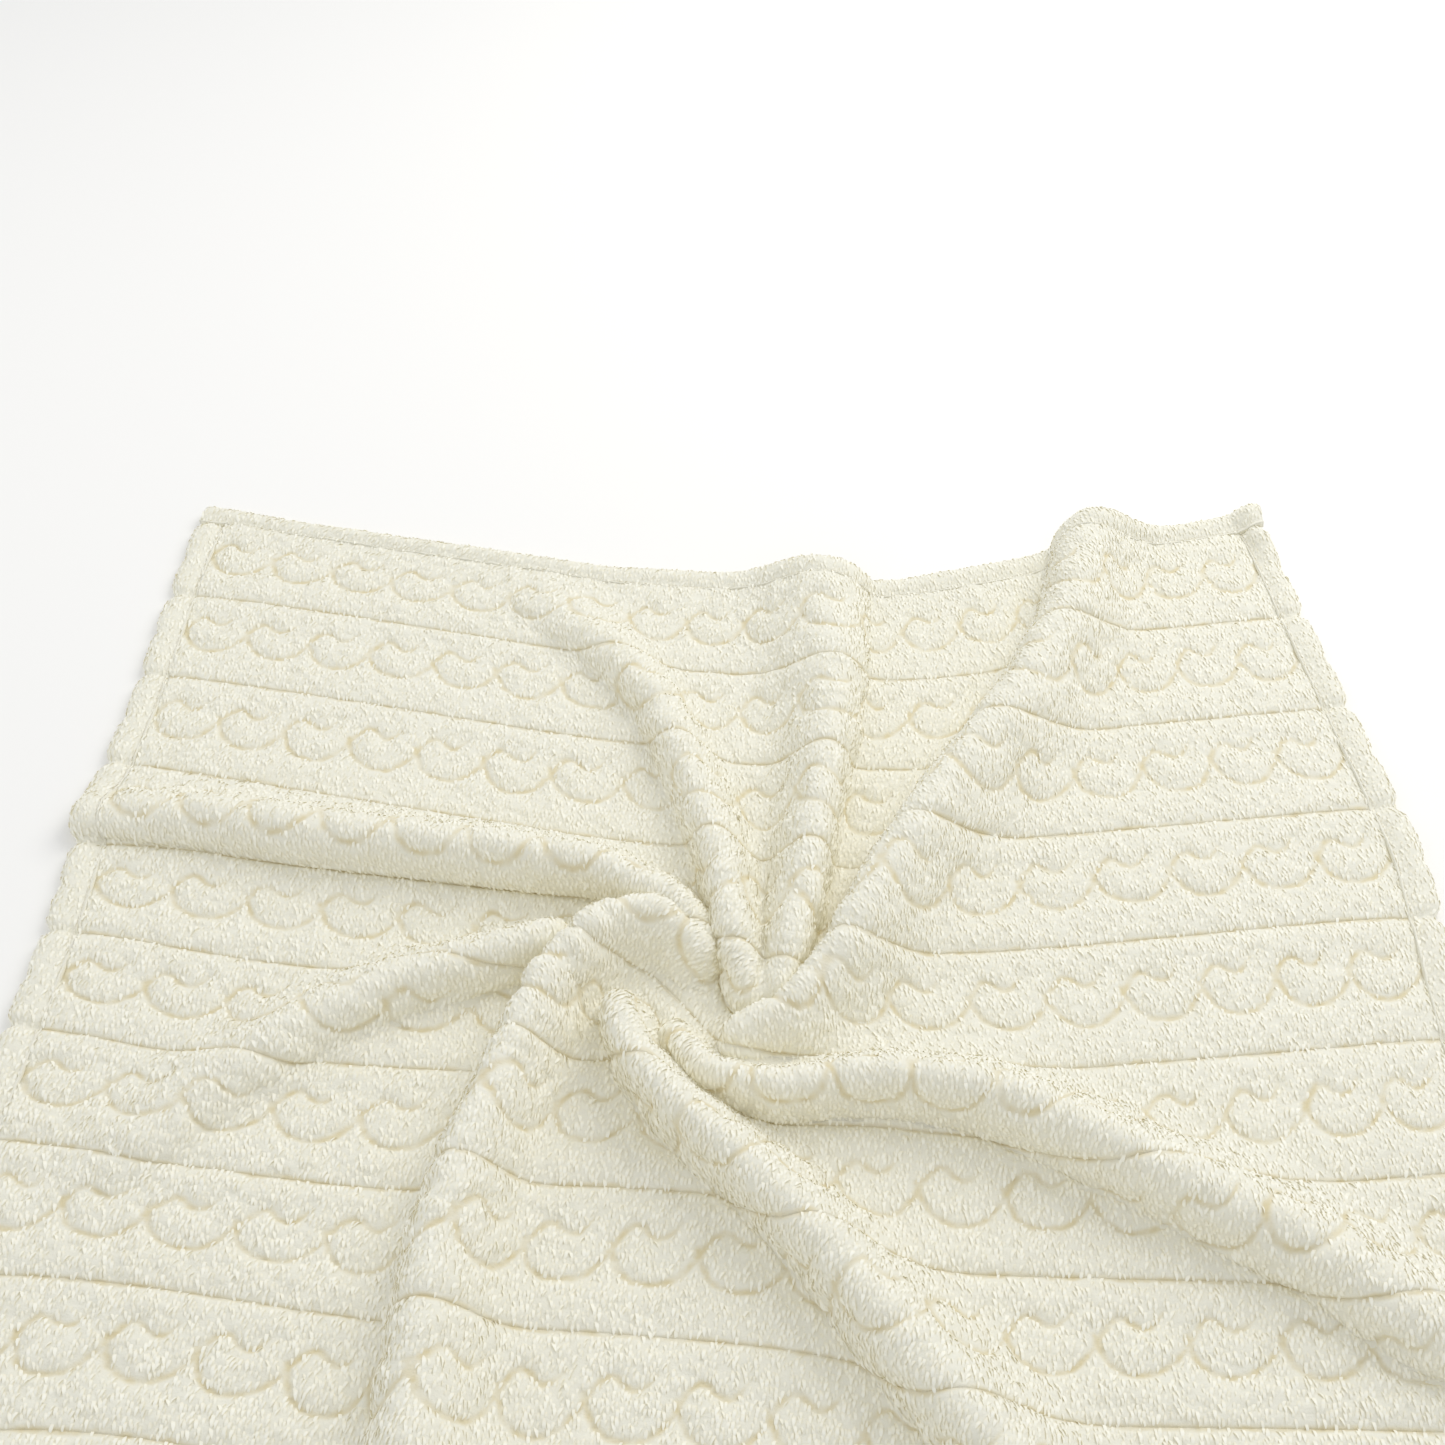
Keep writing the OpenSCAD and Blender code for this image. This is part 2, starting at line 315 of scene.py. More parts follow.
def laid(place, turns, pull):
    """Slides the cloth's points over the folds until its threads have their own length again."""
    columns, rows = place.shape[:2]
    step_u, step_v = cut_w / (columns - 1), cut_l / (rows - 1)
    step_d = math.hypot(step_u, step_v)
    furrows = pulls(step_u, step_v, columns, rows)
    head, tail, whole = slice(0, -1), slice(1, None), slice(None)
    threads = [((head, whole), (tail, whole), step_u, 1.0), ((whole, head), (whole, tail), step_v, 1.0),
               ((head, head), (tail, tail), step_d, 0.25), ((tail, head), (head, tail), step_d, 0.25)]
    edges = [((0, whole), 0, left_edge), ((-1, whole), 0, right_edge), ((whole, 0), 1, far_edge),
             ((whole, -1), 1, near_edge)]
    before = place.copy()
    for turn in range(turns):
        x, y = place[..., 0], place[..., 1]
        slope_x, slope_y = looked_up(slope_x_map, x, y), looked_up(slope_y_map, x, y)
        point = np.concatenate([place, looked_up(height_map, x, y)[..., None]], -1)
        move, weight = np.zeros_like(point), np.full((columns, rows, 1), 1e-6)
        for one, other, length, stiff in threads:
            run = point[other] - point[one]
            size = np.sqrt((run * run).sum(-1, keepdims=True))
            step = 0.5 * stiff * (size - length) / size * run
            move[one] += step
            move[other] -= step
            weight[one] += stiff
            weight[other] += stiff
        move *= 1.6 / weight
        a, b, c = 1 + slope_x ** 2, slope_x * slope_y, 1 + slope_y ** 2
        along_x, along_y = move[..., 0] + slope_x * move[..., 2], move[..., 1] + slope_y * move[..., 2]
        flat = a * c - b * b
        slide = np.stack([(c * along_x - b * along_y) / flat, (a * along_y - b * along_x) / flat], -1)
        for line, axis, points in edges:
            p = np.array(points, float) / 1000
            found = place[line]
            wanted = np.interp(found[..., 1 - axis], p[:, 1 - axis], p[:, axis])
            part = slide[line]
            part[..., axis] += 2 * max(pull, 0.03) * (wanted - found[..., axis])
            slide[line] = part
        for first, share, at_x, at_y, spread in furrows:
            row = place[:, first] * (1 - share) + place[:, first + 1] * share
            order = np.argsort(row[:, 0])
            near = np.clip(np.interp(at_x, row[order, 0], order.astype(float)).astype(int), 0, columns - 2)
            miss = at_y - np.interp(at_x, row[order, 0], row[order, 1])
            for row in range(max(first - spread, 0), min(first + 2 + spread, rows)):
                slide[near, row, 1] += pull * miss
                slide[near + 1, row, 1] += pull * miss
        step = slide + (0.85 * (place - before) if turn else 0)
        size = np.sqrt((step * step).sum(-1, keepdims=True))
        step *= np.minimum(1, 0.35 * min(step_u, step_v) / np.maximum(size, 1e-12))
        before, place = place, place + step
        if turn % 10 == 9:
            place = untangled(place, step_u * step_v)
            before = np.where(np.abs(place - before) > 0.002, place, before)
    return place


def spline_weights(at, count):
    """A matrix that reads a smooth curve through count points at places from 0 to count - 1."""
    at = np.asarray(at, float)
    first = np.clip(np.floor(at).astype(int), 0, count - 2)
    t = at - first
    parts = [(-t + 2 * t ** 2 - t ** 3) / 2, (2 - 5 * t ** 2 + 3 * t ** 3) / 2,
             (t + 4 * t ** 2 - 3 * t ** 3) / 2, (t ** 3 - t ** 2) / 2]
    made = np.zeros((len(at), count))
    for offset, part in zip((-1, 0, 1, 2), parts):
        index = first + offset
        low, high = index < 0, index > count - 1
        inside = ~(low | high)
        rows = np.arange(len(at))
        np.add.at(made, (rows[inside], index[inside]), part[inside])
        # past an end, the curve goes on straight
        np.add.at(made, (rows[low], 0), 2 * part[low])
        np.add.at(made, (rows[low], 1), -part[low])
        np.add.at(made, (rows[high], count - 1), 2 * part[high])
        np.add.at(made, (rows[high], count - 2), -part[high])
    return made


def finer(place, columns, rows):
    across = spline_weights(np.linspace(0, place.shape[0] - 1, columns), place.shape[0])
    along = spline_weights(np.linspace(0, place.shape[1] - 1, rows), place.shape[1])
    return np.einsum("iu,uvk,jv->ijk", across, place, along, optimize=True)


def settled(point, turns=50):
    """Lets the laid cloth go limp under its weight, on the floor and against its own folds."""
    columns, rows = point.shape[:2]
    step_u, step_v = cut_w / (columns - 1), cut_l / (rows - 1)
    head, tail, whole = slice(0, -1), slice(1, None), slice(None)
    threads = [((head, whole), (tail, whole), step_u), ((whole, head), (whole, tail), step_v)]
    rest = point.copy()
    for turn in range(turns):
        move, weight = np.zeros_like(point), np.full((columns, rows, 1), 1e-6)
        for one, other, length in threads:
            run = point[other] - point[one]
            size = np.sqrt((run * run).sum(-1, keepdims=True))
            miss = np.where(size > length, size - length, 0.2 * (size - length))
            step = 0.5 * miss / size * run
            move[one] += step
            move[other] -= step
            weight[one] += 1
            weight[other] += 1
        point = point + 1.2 * move / weight
        wide = np.pad(point, ((1, 1), (1, 1), (0, 0)), mode="reflect", reflect_type="odd")
        level = (wide[:-2, 1:-1] + wide[2:, 1:-1] + wide[1:-1, :-2] + wide[1:-1, 2:]) / 4
        point = point + 0.04 * (level - point) + 0.05 * (rest - point)
        point[..., 2] = np.maximum(point[..., 2] - 0.00002, 0)
    return point


place = None
for columns, rows, turns, pull in ((17, 20, 150, 0.12), (33, 39, 200, 0.12), (65, 77, 250, 0.12),
                                   (131, 156, 160, 0.05), (229, 274, 80, 0.0)):
    if place is None:
        u, v = np.meshgrid(np.linspace(0, cut_w, columns), np.linspace(0, cut_l, rows), indexing="ij")
        place = first_lay(u, v)
    place = laid(finer(place, columns, rows), turns, pull)
lie_z = looked_up(height_map, place[..., 0], place[..., 1])
overhang = 0.25
lie = np.stack([
    place[..., 0] + overhang * lie_z * looked_up(lean_x_map, place[..., 0], place[..., 1]),
    place[..., 1] + overhang * lie_z * looked_up(lean_y_map, place[..., 0], place[..., 1]),
    lie_z], -1)
lie = settled(lie)


def up_of(points):
    """The unit direction that the cloth faces at each point of a grid, blurred a little."""
    across, along = np.gradient(points, axis=0), np.gradient(points, axis=1)
    up = np.cross(along, across)
    up = np.stack([softened(up[..., k], 1.0) for k in range(3)], -1)
    return up / (np.linalg.norm(up, axis=-1, keepdims=True) + 1e-9)


lie_up = up_of(lie)


def on_cloth(u, v, d):
    """Points of the lying cloth for a list of u, a list of v and the heights d over its underside."""
    across = spline_weights(np.asarray(u) / cut_w * (lie.shape[0] - 1), lie.shape[0])
    along = spline_weights(np.asarray(v) / cut_l * (lie.shape[1] - 1), lie.shape[1])
    base = np.einsum("iu,uvk,jv->ijk", across, lie, along, optimize=True)
    up = np.einsum("iu,uvk,jv->ijk", across, lie_up, along, optimize=True)
    up /= np.linalg.norm(up, axis=-1, keepdims=True) + 1e-9
    points = base + up * np.asarray(d)[..., None]
    points[..., 2] = np.maximum(points[..., 2], 0.0002)
    return points


# The cable: one furrow runs along the foot of a cell, up its far side and over the next cell,
# where it ends in a small curl. Both parts are (share across the cell, share down the cable).
cable_share = 0.67
foot = [(0.0, 0.58), (0.05, 0.73), (0.14, 0.88), (0.30, 0.975), (0.47, 1.0), (0.66, 0.975),
        (0.80, 0.90), (0.92, 0.79), (1.0, 0.70)]
curl = [(0.0, 0.67), (0.06, 0.57), (0.14, 0.47), (0.24, 0.40), (0.33, 0.41), (0.42, 0.48),
        (0.52, 0.52), (0.62, 0.50), (0.70, 0.43), (0.76, 0.35)]


def off_line(x, y, points):
    """How far each point is from a line through the points."""
    best = np.full(np.broadcast(x, y).shape, 1.0)
    for (ax, ay), (bx, by) in zip(points[:-1], points[1:]):
        run_x, run_y = bx - ax, by - ay
        along = np.clip(((x - ax) * run_x + (y - ay) * run_y) / (run_x ** 2 + run_y ** 2), 0, 1)
        best = np.minimum(best, np.hypot(x - ax - along * run_x, y - ay - along * run_y))
    return best


# Both parts run out into the pile: the foot after 0.90 of the cell, the curl after 0.60.
foot_fades, curl_fades, fade_run = 0.90, 0.60, 0.16
fade_gap = 0.0022


def off_furrow(u, v):
    """How far each point of the cut cloth is from the nearest carved furrow, in metres."""
    across = (u + 0.0016 * tufts(u, v, 0.022, 15) - hem_w) / cell_pitch
    x = (across - np.floor(across)) * cell_pitch
    down = (v + 0.0014 * tufts(u, v, 0.022, 16) - hem_w) / row_pitch
    y = (down - np.floor(down)) * row_pitch
    near = np.minimum(y, row_pitch - y) + 0.0014 * np.maximum(0, tufts(u, v, 0.011, 14))
    # there is no straight furrow along the far and near hems, only their stitching
    line = np.round(down)
    near += 0.010 * ((line == 0) | (line == row_count))
    for points, fades in ((foot, foot_fades), (curl, curl_fades)):
        line = [(a * cell_pitch, b * cable_share * row_pitch) for a, b in points]
        for shift in (-cell_pitch, 0, cell_pitch):
            faded = np.clip(((x - shift) / cell_pitch - fades) / fade_run, 0, 1) * fade_gap
            near = np.minimum(near, off_line(x - shift, y, line) + faded)
    return near


def tufts(u, v, size, seed):
    """Smooth random heights from -1 to 1 over the cut cloth, with lumps of about that size."""
    random = np.random.default_rng(seed)
    lattice = random.uniform(-1, 1, (int(cut_w / size) + 4, int(cut_l / size) + 4))
    x, y = u / size + 1, v / size + 1
    i, j = np.floor(x).astype(int), np.floor(y).astype(int)
    a, b = x - i, y - j
    a, b = a * a * (3 - 2 * a), b * b * (3 - 2 * b)
    return (lattice[i, j] * (1 - a) * (1 - b) + lattice[i + 1, j] * a * (1 - b)
            + lattice[i, j + 1] * (1 - a) * b + lattice[i + 1, j + 1] * a * b)


def pile_height(u, v):
    """How high the brushed pile stands at each point of the cut cloth, and its nearest furrow."""
    near = off_furrow(u, v) + 0.0007 * tufts(u, v, 0.004, 9)
    near = np.maximum(near, 0)
    parted = 1 - np.exp(-(near / 0.0040) ** 1.4)
    # the hem's stitching drags a strip of pile flat beside it, most of all on the right
    from_left, from_right = u - hem_w, cut_w - hem_w - u
    dragged = 0.35 * np.exp(-(from_left / 0.006) ** 2) + np.exp(-(from_right / 0.011) ** 2)
    dragged *= 0.55 + 0.45 * tufts(u, v, 0.012, 10)
    plump = 1 - np.exp(-(near / 0.010) ** 1.3)
    lumps = 0.0009 * tufts(u, v, 0.0065, 3) + 0.0004 * tufts(u, v, 0.0032, 4)
    broad = 0.0012 * tufts(u, v, 0.045, 5) + 0.0014 * tufts(u, v, 0.016, 6)
    height = 0.0024 + parted * (pile_t - 0.0038 + lumps) + plump * (0.0024 + broad)
    return height * (1 - 0.6 * dragged), near


def fleece(name, high, low, furrow, carved):
    """Microfibre pile, brushed and steamed: a matt cream surface that lights up at grazing angles,
    mottled by its lumps of fibre, with painted shade, partly the duller pressed pile, making it darker and
    yellower down in the furrows, and a faint warm painted glow."""
    made, tree, output = new_material(name)
    place = node(tree, "ShaderNodeUVMap", {"uv_map": "Cloth"})
    mottle = node(tree, "ShaderNodeTexNoise", Vector=place.outputs[0], Scale=95.0, Detail=3.0, Roughness=0.6)
    base = node(tree, "ShaderNodeMix", {"data_type": "RGBA"}, Factor=mottle.outputs[0])
    base.inputs[6].default_value = linear(low)
    base.inputs[7].default_value = linear(high)
    colour = base.outputs[2]
    if carved:
        # painted shade: the pile is tinted darker and yellower towards each furrow, where shade falls, together
        # with the duller tone of the pressed pile
        near = node(tree, "ShaderNodeAttribute", {"attribute_name": "off_furrow"})
        furrow_shade_mask = node(tree, "ShaderNodeMapRange", {"interpolation_type": "SMOOTHSTEP"}, Value=near.outputs[2],
                    From_Min=0.0, From_Max=0.0046, To_Min=0.85, To_Max=0.0)
        broken = node(tree, "ShaderNodeTexNoise", Vector=place.outputs[0], Scale=70.0, Detail=2.0)
        broken = node(tree, "ShaderNodeMapRange", Value=broken.outputs[0], From_Min=0.35, From_Max=0.65,
                      To_Min=0.35, To_Max=1.0)
        furrow_shade_mask = node(tree, "ShaderNodeMath", {"operation": "MULTIPLY"}, i0=furrow_shade_mask.outputs[0], i1=broken.outputs[0])
        furrow_shade_tint = node(tree, "ShaderNodeMix", {"data_type": "RGBA"}, Factor=furrow_shade_mask.outputs[0])
        tree.links.new(colour, furrow_shade_tint.inputs[6])
        furrow_shade_tint.inputs[7].default_value = linear(furrow)
        colour = furrow_shade_tint.outputs[2]
    # the emission is a faint warm painted glow, standing in for light carried through the fibres into the folds
    # and furrows
    shader = node(tree, "ShaderNodeBsdfPrincipled", Base_Color=colour, Roughness=0.95,
                  Specular_IOR_Level=0.15, Sheen_Weight=0.35, Sheen_Roughness=0.55,
                  Sheen_Tint=linear("fffdf4"), Emission_Color=linear("e2cf98"), Emission_Strength=0.07)
    fine = node(tree, "ShaderNodeTexNoise", Vector=place.outputs[0], Scale=420.0, Detail=4.0, Roughness=0.7)
    bump = node(tree, "ShaderNodeBump", Strength=0.55, Distance=0.0016, Height=fine.outputs[0])
    tree.links.new(bump.outputs[0], shader.inputs["Normal"])
    tree.links.new(shader.outputs[0], output.inputs[0])
    return made


face_fleece = fleece("carved microfibre fleece", "f2f1e4", "ebe8d9", "d9cba0", True)


# locks of the same fibre: painted shade makes them tan where they are rooted, deep in the pile, cream at their
# tips, each a little different
lock_paint, tree, output = new_material("combed microfibre locks")
tip = node(tree, "ShaderNodeAttribute", {"attribute_name": "tip"})
shade = node(tree, "ShaderNodeAttribute", {"attribute_name": "shade"})
cream = node(tree, "ShaderNodeMix", {"data_type": "RGBA"}, Factor=shade.outputs[2])
cream.inputs[6].default_value = linear("ebe9dc")
cream.inputs[7].default_value = linear("f3f2e8")
# painted shade: each lock darkens towards its root, where the pile shades itself
painted_root_shade = node(tree, "ShaderNodeMapRange", Value=tip.outputs[2], From_Min=0.0, From_Max=0.55)
mixed = node(tree, "ShaderNodeMix", {"data_type": "RGBA"}, Factor=painted_root_shade.outputs[0])
mixed.inputs[6].default_value = linear("ebe6d3")
tree.links.new(cream.outputs[2], mixed.inputs[7])
# the emission is a faint warm painted glow that lifts the locks' shaded undersides, standing in for light passing
# through the fibres
shader = node(tree, "ShaderNodeBsdfPrincipled", Base_Color=mixed.outputs[2], Roughness=0.95,
              Specular_IOR_Level=0.15, Sheen_Weight=0.3, Sheen_Roughness=0.5, Sheen_Tint=linear("fffdf4"),
              Emission_Color=linear("e6d9ac"), Emission_Strength=0.12)
tree.links.new(shader.outputs[0], output.inputs[0])


def lock_tree():
    """Geometry nodes that stand a combed lock of fibre on every few millimetres of a surface."""
    tree = bpy.data.node_groups.new("combed locks", "GeometryNodeTree")
    face = tree.interface
    face.new_socket("Geometry", in_out="INPUT", socket_type="NodeSocketGeometry")
    for name, kind, value in (("Seed", "NodeSocketInt", 1), ("Spacing", "NodeSocketFloat", 0.0029),
                              ("Locks Per Square Metre", "NodeSocketFloat", 100000.0),
                              ("Lock Length", "NodeSocketFloat", 0.0074),
                              ("Lock Width", "NodeSocketFloat", 0.0025),
                              ("Lift", "NodeSocketFloat", 0.24), ("Ruffle", "NodeSocketFloat", 0.30)):
        face.new_socket(name, in_out="INPUT", socket_type=kind).default_value = value
    face.new_socket("Fibre", in_out="INPUT", socket_type="NodeSocketMaterial")
    face.new_socket("Geometry", in_out="OUTPUT", socket_type="NodeSocketGeometry")
    given = node(tree, "NodeGroupInput").outputs
    room = node(tree, "GeometryNodeInputNamedAttribute", {"data_type": "FLOAT"}, Name="room")
    comb = node(tree, "GeometryNodeInputNamedAttribute", {"data_type": "FLOAT_VECTOR"}, Name="comb")
    spread = node(tree, "GeometryNodeDistributePointsOnFaces", {"distribute_method": "POISSON"},
                  Mesh=given["Geometry"], Distance_Min=given["Spacing"],
                  Density_Max=given["Locks Per Square Metre"], Density_Factor=room.outputs[0],
                  Seed=given["Seed"])
    # a lock: a narrow leaf of fibres, widest in its middle and arched along its length
    leaf = node(tree, "GeometryNodeMeshGrid", Size_X=given["Lock Width"], Size_Y=given["Lock Length"],
                Vertices_X=2, Vertices_Y=4)
    place = node(tree, "GeometryNodeInputPosition")
    parts = node(tree, "ShaderNodeSeparateXYZ", Vector=place.outputs[0])
    along = node(tree, "ShaderNodeMath", {"operation": "DIVIDE"}, i0=parts.outputs[1], i1=given["Lock Length"])
    up = node(tree, "ShaderNodeMath", {"operation": "ADD"}, i0=along.outputs[0], i1=0.5)
    left = node(tree, "ShaderNodeMath", {"operation": "SUBTRACT"}, i0=1.0, i1=up.outputs[0])
    arch = node(tree, "ShaderNodeMath", {"operation": "MULTIPLY"}, i0=up.outputs[0], i1=left.outputs[0])
    wide = node(tree, "ShaderNodeMath", {"operation": "MULTIPLY_ADD"}, i0=arch.outputs[0], i1=3.2, i2=0.25)
    x = node(tree, "ShaderNodeMath", {"operation": "MULTIPLY"}, i0=parts.outputs[0], i1=wide.outputs[0])
    z = node(tree, "ShaderNodeMath", {"operation": "MULTIPLY"}, i0=arch.outputs[0], i1=0.0046)
    fall = node(tree, "ShaderNodeMath", {"operation": "MULTIPLY"}, i0=up.outputs[0], i1=up.outputs[0])
    droop = node(tree, "ShaderNodeMath", {"operation": "MULTIPLY_ADD"}, i0=fall.outputs[0], i1=-0.0012,
                 i2=z.outputs[0])
    bent = node(tree, "ShaderNodeCombineXYZ", X=x.outputs[0], Y=parts.outputs[1], Z=droop.outputs[0])
    marked = node(tree, "GeometryNodeStoreNamedAttribute", {"data_type": "FLOAT", "domain": "POINT"},
                  Geometry=leaf.outputs[0], Name="tip", Value=up.outputs[0])
    lock = node(tree, "GeometryNodeSetPosition", Geometry=marked.outputs[0], Position=bent.outputs[0])
    # which way each one leans
    ruffle = node(tree, "FunctionNodeRandomValue", {"data_type": "FLOAT_VECTOR"}, i0=(-1.0, -1.0, -1.0),
                  i1=(1.0, 1.0, 1.0), Seed=given["Seed"])
    back = node(tree, "ShaderNodeVectorMath", {"operation": "SCALE"}, i0=comb.outputs[0], Scale=given["Lift"])
    stray = node(tree, "ShaderNodeVectorMath", {"operation": "SCALE"}, i0=ruffle.outputs[0], Scale=given["Ruffle"])
    way = node(tree, "ShaderNodeVectorMath", {"operation": "SUBTRACT"}, i0=spread.outputs[1], i1=back.outputs[0])
    lean = node(tree, "ShaderNodeVectorMath", {"operation": "ADD"}, i0=way.outputs[0], i1=stray.outputs[0])
    stood = node(tree, "FunctionNodeAlignRotationToVector", {"axis": "Z"}, Vector=lean.outputs[0])
    fan = node(tree, "ShaderNodeVectorMath", {"operation": "ADD"}, i0=comb.outputs[0], i1=stray.outputs[0])
    turned = node(tree, "FunctionNodeAlignRotationToVector", {"axis": "Y", "pivot_axis": "Z"},
                  Rotation=stood.outputs[0], Vector=fan.outputs[0])
    size = node(tree, "FunctionNodeRandomValue", {"data_type": "FLOAT"}, i2=0.7, i3=1.2, Seed=given["Seed"])
    stand = node(tree, "GeometryNodeInstanceOnPoints", Points=spread.outputs[0], Instance=lock.outputs[0],
                 Rotation=turned.outputs[0], Scale=size.outputs[1])
    hue = node(tree, "FunctionNodeRandomValue", {"data_type": "FLOAT"}, i2=0.0, i3=1.0, Seed=given["Seed"])
    shaded = node(tree, "GeometryNodeStoreNamedAttribute", {"data_type": "FLOAT", "domain": "INSTANCE"},
                  Geometry=stand.outputs[0], Name="shade", Value=hue.outputs[1])
    solid = node(tree, "GeometryNodeRealizeInstances", Geometry=shaded.outputs[0])
    round_ = node(tree, "GeometryNodeSetShadeSmooth", Geometry=solid.outputs[0])
    paint = node(tree, "GeometryNodeSetMaterial", Geometry=round_.outputs[0], Material=given["Fibre"])
    node(tree, "NodeGroupOutput", Geometry=paint.outputs[0])
    return tree


comb_tree = lock_tree()


def grown(name, points, faces, tree, values, fields):
    """A piece grown by geometry nodes over a mesh, whose points carry the named fields."""
    seedbed = new_piece(name + "_seedbed", points, faces, lock_paint)
    for field, numbers in fields.items():
        kind, key = ("FLOAT_VECTOR", "vector") if numbers.ndim == 2 else ("FLOAT", "value")
        seedbed.data.attributes.new(field, kind, "POINT").data.foreach_set(
            key, np.asarray(numbers, np.float32).ravel())
    grow = seedbed.modifiers.new("grow", "NODES")
    grow.node_group = tree
    for item in tree.interface.items_tree:
        if item.in_out == "INPUT" and item.name in values:
            grow[item.identifier] = values[item.name]
    ready = seedbed.evaluated_get(bpy.context.evaluated_depsgraph_get())
    mesh = bpy.data.meshes.new_from_object(ready)
    mesh.name = name
    seedbed.modifiers.remove(grow)
    plain = seedbed.data
    bpy.data.objects.remove(seedbed)
    bpy.data.meshes.remove(plain)
    made = bpy.data.objects.new(name, mesh)
    bpy.context.scene.collection.objects.link(made)
    return made


def pile_locks(name, top, near, seed, cad_node, spacing=0.0029, comb=None):
    """The combed locks over a grid of the pile's top, left out down in the furrows."""
    columns, rows = top.shape[:2]
    comb = np.gradient(top, axis=1) if comb is None else comb
    comb = np.stack([softened(comb[..., k], 2.0) for k in range(3)], -1)
    comb /= np.linalg.norm(comb, axis=-1, keepdims=True) + 1e-9
    room = np.clip((near - 0.0014) / 0.0024, 0, 1)
    index = np.arange(columns * rows).reshape(columns, rows)
    faces = np.stack([index[:-1, :-1], index[:-1, 1:], index[1:, 1:], index[1:, :-1]], -1).reshape(-1, 4)
    made = grown(name, top.reshape(-1, 3), faces, comb_tree,
                 {"Seed": seed, "Spacing": spacing, "Fibre": lock_paint},
                 {"comb": comb.reshape(-1, 3), "room": room.ravel()})
    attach(made, "throw")
    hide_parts(cad_node)
    return made


def solid_sheet(name, u, v, top, bottom_v, bottom, material):
    """A closed piece of cloth: its top over all of u and v, and a plainer underside over u and bottom_v."""
    upper = on_cloth(u, v, top)
    lower = on_cloth(u, bottom_v[::-1], bottom)
    points = np.concatenate([upper, lower], 1)
    stations, size = points.shape[:2]
    flat_v = np.concatenate([v, bottom_v[::-1]])
    uv = np.stack(np.meshgrid(u, flat_v, indexing="ij"), -1).reshape(-1, 2)
    index = np.arange(stations * size).reshape(stations, size)
    turned = np.roll(index, -1, 1)
    quads = np.stack([index[:-1], turned[:-1], turned[1:], index[1:]], -1).reshape(-1, 4)
    faces = list(quads[:, ::-1]) + [index[0], index[-1, ::-1]]
    return new_piece(name, points.reshape(-1, 3), faces, material, uv)


pile_step = 0.0023
band_u = np.linspace(hem_w, cut_w - hem_w, int((cut_w - 2 * hem_w) / pile_step) + 1)
for number in range(row_count):
    start = hem_w + number * row_pitch
    band_v = np.linspace(start, start + row_pitch, int(row_pitch / pile_step) + 1)
    flat_u, flat_v = np.meshgrid(band_u, band_v, indexing="ij")
    height, near = pile_height(flat_u, flat_v)
    top = back_t + ground_t + height
    under_v = np.linspace(start, start + row_pitch, 5)
    bottom = np.full((len(band_u), len(under_v)), back_t + ground_t)
    band = solid_sheet(f"face_pile_band_{number + 1:02d}", band_u, band_v, top, under_v, bottom, face_fleece)
    hidden = np.full((len(band_u), len(under_v)), 0.01)
    band.data.attributes.new("off_furrow", "FLOAT", "POINT").data.foreach_set(
        "value", np.concatenate([near, hidden], 1).astype(np.float32).ravel())
    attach(band, "throw")
    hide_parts("face_pile")
    pile_locks(f"face_pile_locks_{number + 1:02d}", on_cloth(band_u, band_v, top), near, number + 1,
               "face_pile")


# ---------------------------------------------------------------- the knitted ground
# A thin warp knit that both piles are knitted through. It shows only where the pile is parted.

def ground_knit(name):
    """Fine polyester warp knit: straight columns of tiny loops, duller than the pile."""
    made, tree, output = new_material(name)
    place = node(tree, "ShaderNodeUVMap", {"uv_map": "Cloth"})
    wales = node(tree, "ShaderNodeTexWave", {"bands_direction": "X"}, Vector=place.outputs[0],
                 Scale=1 / 0.0022, Distortion=1.5, Detail=1.0)
    mixed = node(tree, "ShaderNodeMix", {"data_type": "RGBA"}, Factor=wales.outputs[1])
    mixed.inputs[6].default_value = linear("d8c9a4")
    mixed.inputs[7].default_value = linear("eadfc4")
    shader = node(tree, "ShaderNodeBsdfPrincipled", Base_Color=mixed.outputs[2], Roughness=0.9,
                  Sheen_Weight=0.2)
    bump = node(tree, "ShaderNodeBump", Strength=0.5, Distance=0.0004, Height=wales.outputs[1])
    tree.links.new(bump.outputs[0], shader.inputs["Normal"])
    tree.links.new(shader.outputs[0], output.inputs[0])
    return made


ground_step = 0.012
ground_u = np.linspace(hem_w, cut_w - hem_w, int(cut_w / ground_step))
ground_v = np.linspace(hem_w, cut_l - hem_w, int(cut_l / ground_step))
ground_shape = (len(ground_u), len(ground_v))
ground = solid_sheet("knit_ground_cloth", ground_u, ground_v, np.full(ground_shape, back_t + ground_t),
                     ground_v, np.full(ground_shape, back_t), ground_knit("warp knit ground"))
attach(ground, "throw")
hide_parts("knit_ground")


# ---------------------------------------------------------------- the back pile
# Short sheared microfibre pile on the underside, plain, and slightly nubby where it was brushed.

back_fleece = fleece("sheared microfibre fleece", "f4f1e4", "ece7d8", "dccca0", False)
back_step = 0.009
back_u = np.linspace(hem_w, cut_w - hem_w, int(cut_w / back_step))
back_v = np.linspace(hem_w, cut_l - hem_w, int(cut_l / back_step))
flat_u, flat_v = np.meshgrid(back_u, back_v[::-1], indexing="ij")
nubs = 0.0004 * (1 + tufts(flat_u, flat_v, 0.008, 7)) + 0.0003 * (1 + tufts(flat_u, flat_v, 0.02, 8))
back = solid_sheet("back_pile_cloth", back_u, back_v, np.full((len(back_u), len(back_v)), back_t),
                   back_v, nubs, back_fleece)
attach(back, "throw")
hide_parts("back_pile")


# ---------------------------------------------------------------- the four hems
# The cloth's own edge, turned to the underside and sewn down. It stands up as a soft roll outside
# the stitching, which pulls a furrow of flattened pile along the inner side.

roll_top = slice(8, 26)       # the part of the outline that shows, in its 32 points
hem_fleece = fleece("turned microfibre fleece", "f2f1e4", "ebe8d9", "d9cba0", False)
hem_step = 0.0032
